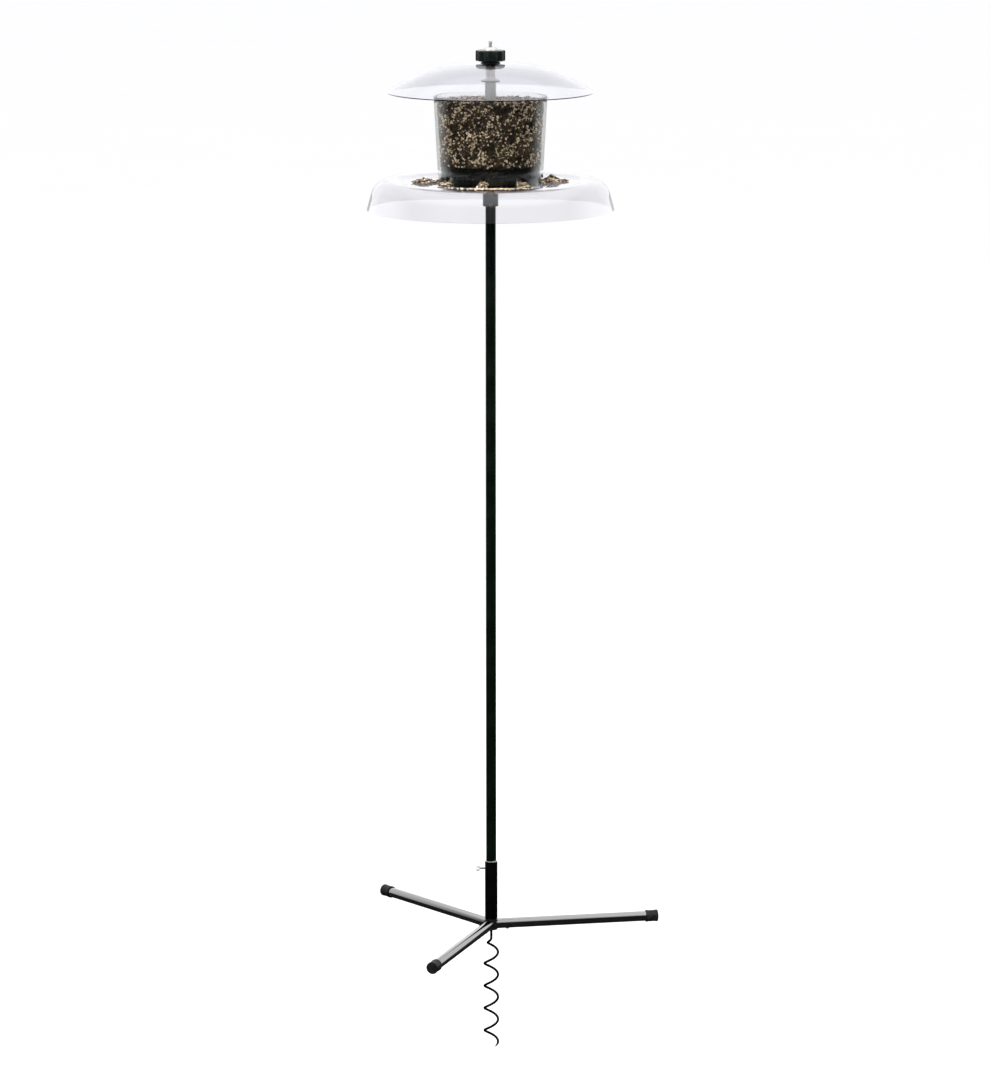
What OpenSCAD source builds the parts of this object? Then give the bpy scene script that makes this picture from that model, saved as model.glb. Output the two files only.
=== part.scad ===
// Pole-mounted bird feeder: a clear domed roof and a round clear tray on a
// steel pole, held upright by a three-legged stand with a corkscrew ground auger.
// The origin is where the pole's axis meets the ground. Millimetres, +Z up.
// Threads are plain cylinders at their major diameter.

/* [Pole and stand] */
// Outside diameter of the pole and of the leg tubes
tube_d = 25.4; // [22:0.1:28]
// Wall of the pole and leg tubes
tube_wall = 1.6; // [1.2:0.1:2.5]
// Length of pole seen between the stand's sleeve and the tray's collar
pole_exposed = 1666; // [900:1:1800]
// Outside diameter of the stand's sleeve
sleeve_d = 31.75; // [29.5:0.05:36]
// Height of the sleeve's rim above the ground
sleeve_top = 180; // [140:1:240]
// Length of each leg from the pole's axis to the end of its rubber cap
leg_reach = 432; // [300:1:520]
// Compass angle of the front leg, seen from above
leg_turn = -110; // [-180:1:180]
// Outside diameter of a leg's rubber cap
cap_d = 30.5; // [29:0.1:34]

/* [Ground auger] */
// Outside diameter of the corkscrew
auger_d = 40.5; // [30:0.5:50]
// Diameter of the rod that it is bent from
auger_rod_d = 6.4; // [5:0.1:8]
// Drop of one turn
auger_pitch = 59; // [45:1:70]
// Turns from where the rod leaves the axis to its point
auger_turns = 4.8; // [3:0.05:6]

/* [Tray] */
// Diameter of the tray over its rim
tray_d = 609.6; // [560:0.1:700]
// Height of the skirt from its rim to the dish's ridge
skirt_h = 74.5; // [60:0.5:90]
// Depth of the dish below its ridge
dish_depth = 9.5; // [6:0.1:12]
// Thickness of the clear sheet
sheet_t = 3; // [2:0.1:4]

/* [Hopper] */
// Outside radius of the hopper at its mouth
hopper_top_r = 140; // [135:1:150]
// Outside radius of the hopper at the tray
hopper_foot_r = 128.5; // [127:0.5:132]
// Height of the hopper above the dish's floor
hopper_h = 214; // [180:1:260]
// Wall of the hopper
hopper_wall = 6; // [4:0.5:7]
// Number of feeding ports round the foot
port_count = 8; // [6:1:10]
// Width of a feeding port
port_w = 28; // [22:1:34]
// Height of a feeding port
port_h = 23; // [18:1:28]

/* [Roof] */
// Diameter of the roof
roof_d = 508; // [440:1:560]
// Height of the roof's crown above its rim
roof_rise = 70; // [60:1:85]
// Height of the roof's rim above the hopper's mouth
roof_gap = 10; // [5:1:40]
// Diameter of the knob over its lobes
knob_d = 73; // [60:1:80]
// Number of lobes on the knob
knob_lobes = 10; // [8:1:12]

/* [Hidden] */
$fn = 64;
cut = 1;              // how far a cutting shape runs past a face
fit = 0.05;           // gap round pieces that are fastened together
run = 0.1;            // gap round pieces that slide or turn

black = [0.05, 0.06, 0.05];
rubber = [0.08, 0.08, 0.08];
steel = [0.62, 0.62, 0.6];
galvanised = [0.55, 0.57, 0.53];
clear = [0.9, 0.9, 0.95, 0.35];
seeds = [0.35, 0.27, 0.2];

// Stand
tube_r = tube_d / 2;
sleeve_r = sleeve_d / 2;
leg_z = cap_d / 2;
hub_bottom = 1.5;
hub_top = 30;
stub_reach = 62;      // end of a hub stub, from the axis
cap_h = 31;
cap_end = 3;          // closed end of a cap
screw_at = 42;        // leg screw, from the axis
screw_r = 2;
screw_head_r = 3.6;
screw_head_h = 1.9;
leg_angles = [leg_turn, leg_turn + 120, leg_turn + 240];

// Pole: the coat covers the stretch between the sleeve and the collar
coat = 0.08;
bare_r = tube_r - coat;
pole_bottom = 44;
collar_bottom = sleeve_top + pole_exposed;

// Thumb screw on the sleeve
thumb_z = sleeve_top - 19;
thumb_r = 2.5;
thumb_shank = 11.7;   // length seen outside the sleeve
paddle_w = 16;
paddle_l = 13;
paddle_t = 3.6;
paddle_turn = -42;    // from upright
tip_gap = 0.25;       // between a screw's point and the pole

// Tray, flange and collar
collar_r = 19;
collar_h = 47;
flange_t = 6;
flange_r = 36;
web_t = 9;            // solid top of the flange above the pole
disc_z = collar_bottom + collar_h;
floor_under = disc_z + flange_t;
floor_z = floor_under + sheet_t;
ridge_z = floor_z + dish_depth;
pole_top = floor_under - web_t - 0.5;
set_screw_z = collar_bottom + 6;
set_screw_r = 3;
set_head_r = 4.5;
set_head_h = 4;
bolt_ring_r = 27;
bolt_r = 3;
bolt_count = 4;
skirt_lean = 15;      // degrees from upright
shoulder_r = 52;
dish_fillet_r = 60;
shoulder_drop = shoulder_r * (1 - cos(90 - skirt_lean));
ridge_r = tray_d / 2 - shoulder_r * sin(90 - skirt_lean)
    - (skirt_h - shoulder_drop) * tan(skirt_lean);
dish_turn = acos(1 - dish_depth / 2 / dish_fillet_r);

// Seed ring and hopper
ring_r = 118;
ring_wall = 3;
ring_h = 46;
ring_lip_t = 3;
ring_clear = 0.4;
port_turn = -9;
hopper_top = floor_z + hopper_h;
hopper_slope = (hopper_top_r - hopper_foot_r) / hopper_h;
seed_gap = 1.5;       // between the seed and the wall round it
seed_foot_r = 103;
seed_bottom = floor_z + 4.5;
seed_top = hopper_top - 8;

// Roof, centre tube and knob
rod_r = 4.7625;
rim_z = hopper_top + roof_gap;
crown_z = rim_z + roof_rise;
crown_flat_r = 40;
roof_span = roof_d / 2 - crown_flat_r;
roof_arc_r = (roof_span * roof_span + roof_rise * roof_rise) / 2 / roof_rise;
seal_t = 2;
seal_r = 17;
spacer_h = 38;
spacer_flare_h = 11.5;
neck_r = 11.5;
flare_r = 20;
tube_washer_t = 2.5;
tube_washer_r = 23.3;
centre_tube_r = 13.35;
centre_tube_wall = 2.4;
seal_z = crown_z - sheet_t - seal_t;
spacer_z = seal_z - spacer_h;
centre_tube_top = spacer_z - tube_washer_t;
washer_t = 2;
washer_r = 24;
knob_z = crown_z + washer_t;
knob_hub_r = 21.5;
knob_hub_h = 3.5;
knob_h = 26.2;
lobe_r = 7.5;
knob_core_r = knob_d / 2 - 3.5;
stem_r = 8;
insert_h = 8.3;
insert_foot_r = 19.3;
insert_top_r = 15;
stem_z = knob_z + knob_hub_h + 1.5;
insert_z = knob_z + knob_hub_h + knob_h;
insert_top = insert_z + insert_h;
groove_r = 4.1;
groove_h = 1;
stud_h = 14;

// Points of an arc about [cx, cz]; angles are from the top, outwards.
function arc(cx, cz, r, from, to, steps = 12) =
    [for (i = [0 : steps]) let (a = from + (to - from) * i / steps)
        [cx + r * sin(a), cz + r * cos(a)]];

// Closed outline of a sheet whose upper face follows a path, t thick below it.
function sheet(path, t) =
    let (last = len(path) - 1)
    concat(path, [for (i = [last : -1 : 0])
        let (d = path[min(i + 1, last)] - path[max(i - 1, 0)])
        path[i] + t / norm(d) * [d.y, -d.x]]);

module tube(h, r, wall) {
    difference() {
        cylinder(h = h, r = r);
        translate([0, 0, -cut]) cylinder(h = h + 2 * cut, r = r - wall);
    }
}

module washer(h, r, bore_r) {
    tube(h, r, r - bore_r);
}

// Lays a shape made along +Z out along a leg, at the height of the leg's axis.
module along_leg(i) {
    translate([0, 0, leg_z]) rotate([0, 0, leg_angles[i]]) rotate([0, 90, 0]) children();
}

module at_leg_screw(i) {
    rotate([0, 0, leg_angles[i]]) translate([screw_at, 0, 0]) children();
}

// Hub with a stub for each leg; the auger's shank passes up its centre.
module hub_spider() {
    color(black) difference() {
        union() {
            translate([0, 0, hub_bottom]) cylinder(h = hub_top - hub_bottom, r = sleeve_r);
            for (i = [0 : 2]) along_leg(i) cylinder(h = stub_reach, r = tube_r - tube_wall - fit);
        }
        cylinder(h = hub_top + cut, r = auger_rod_d / 2 + fit);
        for (i = [0 : 2]) at_leg_screw(i) cylinder(h = leg_z, r = screw_r + fit);
    }
}

// Sleeve that the pole stands in, tapped through for the thumb screw.
module pole_sleeve() {
    color(black) difference() {
        translate([0, 0, hub_top]) tube(sleeve_top - hub_top, sleeve_r, sleeve_r - bare_r - run);
        translate([0, 0, thumb_z]) rotate([0, -90, 0]) cylinder(h = sleeve_d, r = thumb_r + run);
    }
}

// Leg tube, coped to the hub.
module leg(i) {
    color(black) difference() {
        along_leg(i) tube(leg_reach - cap_end, tube_r, tube_wall);
        cylinder(h = 2 * leg_z, r = sleeve_r + fit);
        at_leg_screw(i) cylinder(h = leg_z, r = screw_r + fit);
    }
}

// Rubber cap, closed at its outer end.
module leg_cap(i) {
    color(rubber) along_leg(i) translate([0, 0, leg_reach - cap_h]) difference() {
        cylinder(h = cap_h, r = cap_d / 2);
        translate([0, 0, -cut]) cylinder(h = cap_h - cap_end + cut, r = tube_r + fit);
    }
}

// One screw up through each leg into its stub.
module leg_screws() {
    head_top = leg_z - tube_r - fit;
    color(steel) for (i = [0 : 2]) at_leg_screw(i) {
        translate([0, 0, head_top - screw_head_h]) cylinder(h = screw_head_h, r = screw_head_r);
        translate([0, 0, head_top - cut]) cylinder(h = 10 + cut, r = screw_r);
    }
}

// The rod runs down the axis, swings out over the first stretch and then coils.
auger_coil_r = (auger_d - auger_rod_d) / 2;
auger_start = -22.6;
auger_step = 15;
auger_sides = 8;
auger_swing = 135;    // degrees over which the rod swings out
auger_from = 225;
auger_shank_top = hub_top + 9;
auger_rings = floor(auger_turns * 360 / auger_step);

function ease(s) = let (u = min(max(s, 0), 1)) u * u * (3 - 2 * u);
function auger_point(a) =
    let (r = auger_coil_r * ease(a / auger_swing))
    [r * cos(auger_from - a), r * sin(auger_from - a), auger_start - auger_pitch * max(a, 0) / 360];
function auger_dir(a) =
    a <= 0 ? [0, 0, -1] : let (d = auger_point(a + 1) - auger_point(a - 1)) d / norm(d);
function auger_ring(a, centre, r) =
    let (t = auger_dir(a), out = [cos(auger_from - a), sin(auger_from - a), 0],
        e = out - (out * t) * t, u = e / norm(e), v = cross(t, u))
    [for (k = [0 : auger_sides - 1]) let (w = 360 * k / auger_sides)
        centre + r * (u * cos(w) + v * sin(w))];

module ground_auger() {
    rod = auger_rod_d / 2;
    shank = [0, 0, auger_shank_top];
    points = concat(
        auger_ring(0, shank, rod),
        [for (i = [0 : auger_rings], p = auger_ring(i * auger_step, auger_point(i * auger_step),
            rod * min(1, 0.15 + 0.3 * (auger_rings - i)))) p]);
    rings = auger_rings + 2;
    n = auger_sides;
    color(black) polyhedron(points, concat(
        [[for (k = [0 : n - 1]) k]],
        [for (i = [0 : rings - 2], k = [0 : n - 1])
            [i * n + k, (i + 1) * n + k, (i + 1) * n + (k + 1) % n]],
        [for (i = [0 : rings - 2], k = [0 : n - 1])
            [i * n + k, (i + 1) * n + (k + 1) % n, i * n + (k + 1) % n]],
        [[for (k = [n - 1 : -1 : 0]) (rings - 1) * n + k]]));
}

// Nut on the auger's shank, on top of the hub.
module auger_nut() {
    color(steel) translate([0, 0, hub_top]) difference() {
        cylinder(h = 5.5, r = 6.35, $fn = 6);
        translate([0, 0, -cut]) cylinder(h = 6 + 2 * cut, r = auger_rod_d / 2 + fit);
    }
}

// Spade-headed screw through the left of the sleeve.
module thumb_screw() {
    color(steel) translate([0, 0, thumb_z]) rotate([0, -90, 0]) {
        translate([0, 0, tube_r + tip_gap])
            cylinder(h = sleeve_r + thumb_shank - tube_r - tip_gap + 3, r = thumb_r);
        translate([0, 0, sleeve_r + thumb_shank]) rotate([0, 0, paddle_turn]) paddle();
    }
}

// Flat thumb piece with a rounded wing on each side of the shank.
module paddle() {
    wing_r = paddle_l / 2;
    for (side = [-1, 1]) translate([-paddle_t / 2, side * (paddle_w / 2 - wing_r), wing_r])
        rotate([0, 90, 0]) cylinder(h = paddle_t, r = wing_r);
}

// One steel tube; its coat ends where the sleeve and the collar begin.
module pole() {
    color(black) difference() {
        union() {
            translate([0, 0, pole_bottom]) cylinder(h = pole_top - pole_bottom, r = bare_r);
            translate([0, 0, sleeve_top + cut])
                cylinder(h = pole_exposed - 2 * cut, r = tube_r);
        }
        translate([0, 0, pole_bottom - cut])
            cylinder(h = pole_top - pole_bottom + 2 * cut, r = tube_r - tube_wall);
    }
}

module at_bolts() {
    for (i = [0 : bolt_count - 1]) rotate([0, 0, 45 + 360 / bolt_count * i])
        translate([bolt_ring_r, 0, 0]) children();
}

// Socket for the pole, with a disc that the tray is bolted to.
module tray_flange() {
    color(black) difference() {
        union() {
            translate([0, 0, collar_bottom]) cylinder(h = collar_h + cut, r = collar_r);
            translate([0, 0, disc_z]) cylinder(h = flange_t, r = flange_r);
        }
        translate([0, 0, collar_bottom - cut])
            cylinder(h = floor_under - web_t - collar_bottom + cut, r = bare_r + run);
        translate([0, 0, floor_under - web_t - cut]) cylinder(h = web_t + 2 * cut, r = rod_r + fit);
        translate([0, 0, set_screw_z]) rotate([90, 0, 0])
            cylinder(h = collar_r + cut, r = set_screw_r + run);
        at_bolts() translate([0, 0, disc_z - cut]) cylinder(h = flange_t + 2 * cut, r = bolt_r + fit);
    }
}

// Socket-head screw in the front of the collar.
module collar_set_screw() {
    point = tube_r + tip_gap;
    color(steel) translate([0, 0, set_screw_z]) rotate([90, 0, 0]) difference() {
        union() {
            translate([0, 0, point]) cylinder(h = collar_r + cut - point, r = set_screw_r);
            translate([0, 0, collar_r + 0.3]) cylinder(h = set_head_h, r = set_head_r);
        }
        translate([0, 0, collar_r + 2]) cylinder(h = set_head_h, r = 2.6, $fn = 6);
    }
}

// Hex bolts down through the dish's floor and the flange.
module flange_bolts() {
    length = sheet_t + flange_t + 5;
    color(steel) at_bolts() {
        translate([0, 0, floor_z]) cylinder(h = 3, r = 5.5, $fn = 6);
        translate([0, 0, floor_z - length]) cylinder(h = length + cut, r = bolt_r);
    }
}

module flange_nuts() {
    color(steel) at_bolts() translate([0, 0, disc_z - 4]) difference() {
        cylinder(h = 4, r = 5.5, $fn = 6);
        translate([0, 0, -cut]) cylinder(h = 4 + 2 * cut, r = bolt_r + fit);
    }
}

// Shallow dish whose edge rolls over into a deep outer skirt.
module tray() {
    fillet_r = ridge_r - 2 * dish_fillet_r * sin(dish_turn);
    path = concat(
        [[rod_r + 0.5, floor_z]],
        arc(fillet_r, floor_z + dish_fillet_r, dish_fillet_r, 180, 180 - dish_turn, 6),
        arc(ridge_r, ridge_z - dish_fillet_r, dish_fillet_r, -dish_turn, 0, 6),
        arc(ridge_r, ridge_z - shoulder_r, shoulder_r, 5, 90 - skirt_lean, 14),
        [[tray_d / 2, ridge_z - skirt_h]]);
    color(clear) difference() {
        rotate_extrude() polygon(sheet(path, sheet_t));
        at_bolts() translate([0, 0, floor_under - cut])
            cylinder(h = sheet_t + 2 * cut, r = bolt_r + fit);
    }
}

// Round-topped channels through the foot of the ring and of the hopper.
module ports() {
    for (i = [0 : port_count - 1]) rotate([0, 0, port_turn + 360 / port_count * i])
        translate([ring_r - 3 * ring_wall, 0, floor_z]) {
            translate([0, -port_w / 2, -cut])
                cube([2 * ring_wall + 3 * hopper_wall, port_w, port_h - port_w / 2 + cut]);
            translate([0, 0, port_h - port_w / 2]) rotate([0, 90, 0])
                cylinder(h = 2 * ring_wall + 3 * hopper_wall, r = port_w / 2);
        }
}

// Ring bonded to the dish; its foot centres the hopper and its lip keeps seed in.
module seed_ring() {
    foot_r = hopper_foot_r - hopper_wall - ring_clear;
    lip_r = foot_r + hopper_slope * (ring_h - ring_lip_t);
    color(black) difference() {
        translate([0, 0, floor_z]) {
            tube(ring_h, ring_r, ring_wall);
            washer(ring_lip_t, foot_r, ring_r - ring_wall);
            translate([0, 0, ring_h - ring_lip_t])
                washer(ring_lip_t, lip_r, ring_r - ring_wall);
        }
        ports();
    }
}

// Clear tapered bin, open at both ends.
module hopper() {
    color(clear) difference() {
        rotate_extrude() polygon([
            [hopper_foot_r - hopper_wall, floor_z], [hopper_foot_r, floor_z],
            [hopper_top_r, hopper_top], [hopper_top_r - hopper_wall, hopper_top]]);
        ports();
    }
}

// The seed in the hopper, drawn back where it spills to the ports.
module seed_fill() {
    in_ring = ring_r - ring_wall - seed_gap;
    ring_top = floor_z + ring_h;
    wall_r = hopper_foot_r - hopper_wall - seed_gap;
    tube_gap_r = centre_tube_r + 0.3;
    color(seeds) rotate_extrude() polygon([
        [tube_gap_r, seed_bottom], [seed_foot_r, seed_bottom],
        [seed_foot_r, floor_z + port_h], [in_ring, ring_top - 4],
        [in_ring, ring_top + 0.5], [wall_r + hopper_slope * (ring_h + 0.5), ring_top + 0.5],
        [wall_r + hopper_slope * (seed_top - floor_z), seed_top], [tube_gap_r, seed_top]]);
}

// Heaps on the dish: [compass angle, distance from the axis, foot radius, height].
heaps = [
    [177, 166, 29, 13], [9, 154, 24, 14], [-99, 156, 19, 9],
    [-54, 156, 19, 10], [-144, 154, 17, 8], [81, 157, 20, 9]
];
module tray_seed() {
    color(seeds) for (h = heaps) rotate([0, 0, h[0]]) translate([h[1], 0, floor_z])
        cylinder(h = h[3], r1 = h[2], r2 = h[2] / 4);
}

// Tube round the rod that carries the roof's weight down to the dish.
module center_tube() {
    color(galvanised) translate([0, 0, floor_z])
        tube(centre_tube_top - floor_z, centre_tube_r, centre_tube_wall);
}

module tube_washer() {
    color(rubber) translate([0, 0, centre_tube_top])
        washer(tube_washer_t, tube_washer_r, rod_r + 0.5);
}

// Flared foot and straight neck that hold the roof above the hopper.
module dome_spacer() {
    color(steel) translate([0, 0, spacer_z]) difference() {
        union() {
            cylinder(h = spacer_h, r = neck_r);
            cylinder(h = spacer_flare_h, r1 = flare_r, r2 = neck_r);
        }
        translate([0, 0, -cut]) cylinder(h = spacer_h + 2 * cut, r = rod_r + run);
    }
}

// Threaded rod, with a run-out groove just above the knob.
module dome_rod() {
    foot = floor_under - web_t + 1;
    color(steel) difference() {
        translate([0, 0, foot]) cylinder(h = insert_top + stud_h - foot, r = rod_r);
        translate([0, 0, insert_top + 0.5]) washer(groove_h, 2 * rod_r, groove_r);
    }
}

module dome_seal() {
    color(rubber) translate([0, 0, seal_z]) washer(seal_t, seal_r, rod_r + 0.3);
}

// Clear roof: a flat crown that runs smoothly into a round arc.
module dome_roof() {
    edge = asin(roof_span / roof_arc_r);
    path = concat(
        [[rod_r + 0.3, crown_z]],
        arc(crown_flat_r, crown_z - roof_arc_r, roof_arc_r, 0, edge, 16));
    color(clear) rotate_extrude() polygon(sheet(path, sheet_t));
}

module dome_washer() {
    color(rubber) translate([0, 0, crown_z]) washer(washer_t, washer_r, rod_r + 0.3);
}

// Lobed hand knob on a round hub.
module dome_knob() {
    color(black) difference() {
        translate([0, 0, knob_z]) {
            cylinder(h = knob_hub_h + cut, r = knob_hub_r);
            translate([0, 0, knob_hub_h]) {
                cylinder(h = knob_h, r = knob_core_r);
                for (i = [0 : knob_lobes - 1]) rotate([0, 0, 360 / knob_lobes * i])
                    translate([knob_d / 2 - lobe_r, 0, 0]) cylinder(h = knob_h, r = lobe_r);
            }
        }
        translate([0, 0, knob_z - cut]) cylinder(h = knob_h, r = rod_r + 0.3);
        translate([0, 0, stem_z]) cylinder(h = knob_h, r = stem_r + fit);
    }
}

// Threaded metal insert: a stem inside the knob and a tapered cap on top.
module knob_insert() {
    color(steel) difference() {
        union() {
            translate([0, 0, stem_z]) cylinder(h = insert_z - stem_z + cut, r = stem_r);
            translate([0, 0, insert_z])
                cylinder(h = insert_h, r1 = insert_foot_r, r2 = insert_top_r);
        }
        translate([0, 0, stem_z - cut])
            cylinder(h = insert_top - stem_z + 2 * cut, r = rod_r + run);
    }
}

hub_spider();
pole_sleeve();
leg(0);  // leg_front
leg(1);  // leg_right
leg(2);  // leg_left
leg_cap(0);  // leg_cap_front
leg_cap(1);  // leg_cap_right
leg_cap(2);  // leg_cap_left
leg_screws();
ground_auger();
auger_nut();
thumb_screw();
pole();
tray_flange();
collar_set_screw();
flange_bolts();
flange_nuts();
tray();
seed_ring();
hopper();
seed_fill();
tray_seed();
center_tube();
tube_washer();
dome_spacer();
dome_rod();
dome_seal();
dome_roof();
dome_washer();
dome_knob();
knob_insert();
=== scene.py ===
# %% [markdown]
# # A bird feeder on its pole
# A clear roof, a bin of seed and a round clear tray stand on one steel pole, which a
# three-legged stand and a corkscrew auger hold upright in a lawn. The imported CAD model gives
# every place and size here; this script adds the surfaces, the finishes, the seed, the light
# and the camera.

# %% Load the frame
import math
import bmesh
import bpy
import numpy as np
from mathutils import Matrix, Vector


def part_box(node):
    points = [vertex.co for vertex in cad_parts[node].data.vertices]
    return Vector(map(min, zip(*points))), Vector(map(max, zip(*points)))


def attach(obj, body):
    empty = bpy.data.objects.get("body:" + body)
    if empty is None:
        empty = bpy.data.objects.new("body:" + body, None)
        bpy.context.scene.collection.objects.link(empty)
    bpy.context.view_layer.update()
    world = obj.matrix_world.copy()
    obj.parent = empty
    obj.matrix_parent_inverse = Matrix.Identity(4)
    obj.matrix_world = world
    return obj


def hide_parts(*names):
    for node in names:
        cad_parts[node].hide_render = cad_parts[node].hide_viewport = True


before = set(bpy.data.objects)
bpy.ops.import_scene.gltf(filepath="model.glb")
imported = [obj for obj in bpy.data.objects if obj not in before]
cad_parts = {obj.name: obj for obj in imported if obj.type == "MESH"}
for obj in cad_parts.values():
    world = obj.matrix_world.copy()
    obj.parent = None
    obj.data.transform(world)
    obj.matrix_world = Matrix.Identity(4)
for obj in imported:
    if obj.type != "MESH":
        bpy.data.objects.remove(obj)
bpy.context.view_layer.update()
rng = np.random.default_rng(12)
MM = 0.001

# %% [markdown]
# ## Places from the frame
# Nearly every piece is turned about the pole's axis, so a piece needs only the height of its
# foot and head and its radius. Reading them from the frame keeps this script in step with
# the CAD when a size changes there.

# %% Heights and radii
def levels(node):
    """Lowest height, highest height and half the width of a CAD node, in metres."""
    low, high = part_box(node)
    return low.z, high.z, (high.x - low.x) / 2


SHEET = 3 * MM
TUBE_R = 12.7 * MM
SLEEVE_R = levels("pole_sleeve")[2]
floor_z = levels("hopper")[0]
tray_foot, ridge_z, tray_r = levels("tray")
hopper_top, hopper_top_r = levels("hopper")[1:]
roof_foot, crown_z, roof_r = levels("dome_roof")
print("dish floor", round(floor_z, 4), "roof crown", round(crown_z, 4))

# %% [markdown]
# ## Surfaces from two parameters
# A turned piece is a profile P(v) = (r, z) carried round the axis: (r cos u, r sin u, z). A
# modelling tool would do it with a Screw modifier; worked out with numpy the whole grid is one
# array, and the same few lines also make lobed, coiled and threaded shapes.

# %% Arrays to meshes
WELD = 0.001 * MM


def raw_mesh(name, points, faces):
    """A smooth mesh from vertices and faces that all have the same number of corners."""
    mesh = bpy.data.meshes.new(name)
    mesh.vertices.add(len(points))
    mesh.vertices.foreach_set("co", points.astype(np.float32).ravel())
    mesh.loops.add(faces.size)
    mesh.loops.foreach_set("vertex_index", faces.astype(np.int32).ravel())
    mesh.polygons.add(len(faces))
    starts = np.arange(0, faces.size, faces.shape[1], dtype=np.int32)
    mesh.polygons.foreach_set("loop_start", starts)
    mesh.polygons.foreach_set("use_smooth", np.ones(len(faces), bool))
    mesh.update()
    return mesh


def linked(name, data):
    """Puts a mesh, a lamp or a camera into the scene as an object."""
    thing = bpy.data.objects.new(name, data)
    bpy.context.scene.collection.objects.link(thing)
    return thing


print("points closer than", WELD, "m are welded")

# %% [markdown]
# Most pieces are grids of points. Each point is joined to its next ones along both directions,
# and where a surface closes on itself the last row is joined to the first. NumPy finds which
# way the faces look, and BMesh welds their seams.

# %% Closed shells
def build(name, points, faces, crease=35):
    """Makes a mesh from vertices and quads. A closed shell whose signed volume comes out
    negative is inside out, so its faces are turned round; points that share a place, as at
    a pole, are welded into one."""
    a, b, c, d = (points[faces[:, k]] for k in range(4))
    if (np.cross(b - a, c - a) * a + np.cross(c - a, d - a) * a).sum() < 0:
        faces = faces[:, ::-1]
    mesh = raw_mesh(name, points, faces)
    weld = bmesh.new()
    weld.from_mesh(mesh)
    bmesh.ops.remove_doubles(weld, verts=weld.verts, dist=WELD)
    weld.to_mesh(mesh)
    weld.free()
    mesh.set_sharp_from_angle(angle=math.radians(crease))
    return linked(name, mesh)


def grid_faces(nu, nv, wrap_u=True, wrap_v=True):
    """Quads of an nu by nv grid, joined end to start where it wraps."""
    index = np.arange(nu * nv).reshape(nu, nv)
    if wrap_u:
        index = np.vstack([index, index[:1]])
    if wrap_v:
        index = np.hstack([index, index[:, :1]])
    corners = [index[:-1, :-1], index[1:, :-1], index[1:, 1:], index[:-1, 1:]]
    return np.stack(corners, -1).reshape(-1, 4)


def shell(name, grid, wrap_u=True, wrap_v=True, crease=35):
    """A piece from a grid of points with the shape (nu, nv, 3)."""
    return build(name, grid.reshape(-1, 3), grid_faces(*grid.shape[:2], wrap_u, wrap_v), crease)


print("a 4 by 3 grid that closes both ways has", len(grid_faces(4, 3)), "faces")

# %% [markdown]
# Real edges are never knife sharp, so each outline has its corners eased before it is turned.
# A bevel modifier would do this too, but doing it on the flat outline keeps the grid even.

# %% Outlines
def eased(corners, radius, steps=4, closed=True):
    """Rounds every corner of an outline: each is cut back along both edges by the radius, or
    by 45% of a shorter edge, and a quadratic curve through the corner joins the cuts."""
    p = np.array(corners, float)
    before, after = np.roll(p, 1, 0) - p, np.roll(p, -1, 0) - p
    reach = [np.minimum(radius, 0.45 * np.linalg.norm(e, axis=1)) for e in (before, after)]
    a, b = (p + e / np.linalg.norm(e, axis=1)[:, None] * r[:, None]
            for e, r in zip((before, after), reach))
    s = np.linspace(0, 1, steps + 1)[None, :, None]
    curve = (1 - s) ** 2 * a[:, None] + 2 * s * (1 - s) * p[:, None] + s ** 2 * b[:, None]
    if closed:
        return curve.reshape(-1, 2)
    return np.vstack([p[:1], curve[1:-1].reshape(-1, 2), p[-1:]])


print("a square with eased corners has", len(eased([(0, 0), (1, 0), (1, 1), (0, 1)], 0.1)), "points")

# %% [markdown]
# Outlines come as lists of corners, as arcs, or as a path with a thickness, and all are turned
# by the same function.

# %% Turning, arcs and sheets
def circle(steps):
    """Even angles once round, without the one that would repeat the first."""
    return np.linspace(0, 2 * np.pi, steps, endpoint=False)


def about(angle, r, z):
    """Points from compass angles, distances from the axis and heights."""
    return np.stack([r * np.cos(angle), r * np.sin(angle), z], -1)


def turned(profile, around=160):
    """A closed (r, z) profile carried round the pole's axis."""
    u = circle(around)[:, None]
    return about(u, profile[None, :, 0], profile[None, :, 1] + 0 * u)


def arc(centre_r, centre_z, radius, start, end, steps):
    """Points of an arc; its angles are in degrees from straight up, outwards."""
    a = np.radians(np.linspace(start, end, steps))
    return np.stack([centre_r + radius * np.sin(a), centre_z + radius * np.cos(a)], -1)


def sheet_outline(path, thickness):
    """A sheet's closed section: the path, and back along it one thickness below. The normal
    at a point is square to the line between its two neighbours."""
    d = np.gradient(path, axis=0)
    d /= np.linalg.norm(d, axis=1)[:, None]
    under = path + thickness * np.stack([d[:, 1], -d[:, 0]], -1)
    return np.vstack([path, under[::-1]])


print("a quarter arc ends at", arc(0, 0, 1, 0, 90, 3)[-1].round(3))

# %% [markdown]
# Each new surface moves with the body its CAD pieces belong to and stands in for them.

# %% Putting a piece in its place
def place(piece, finish, body, slot, *nodes):
    """Rides a piece on its body, gives it its finish and hides the CAD nodes it stands for."""
    piece.data.materials.append(finish)
    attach(piece, body)
    if nodes:
        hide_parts(*nodes)
    print(piece.name, "-", len(piece.data.polygons), "faces")
    return piece


# %% [markdown]
# ## Finishes
# Each finish starts as one shader with constants on its own sockets. Noise on Object
# coordinates then varies its colour, roughness and bump at the scale of the real thing, so no
# surface is one flat colour and nothing slides when a part moves.

# %% A shader and its nodes
def shader(name, colour, roughness, **sockets):
    """A Principled material with its constants on the shader's own sockets."""
    mat = bpy.data.materials.new(name)
    mat.use_nodes = True
    surface = mat.node_tree.nodes["Principled BSDF"]
    surface.inputs["Base Color"].default_value = (*colour, 1)
    surface.inputs["Roughness"].default_value = roughness
    for socket, value in sockets.items():
        surface.inputs[socket.replace("_", " ")].default_value = value
    return mat


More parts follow.
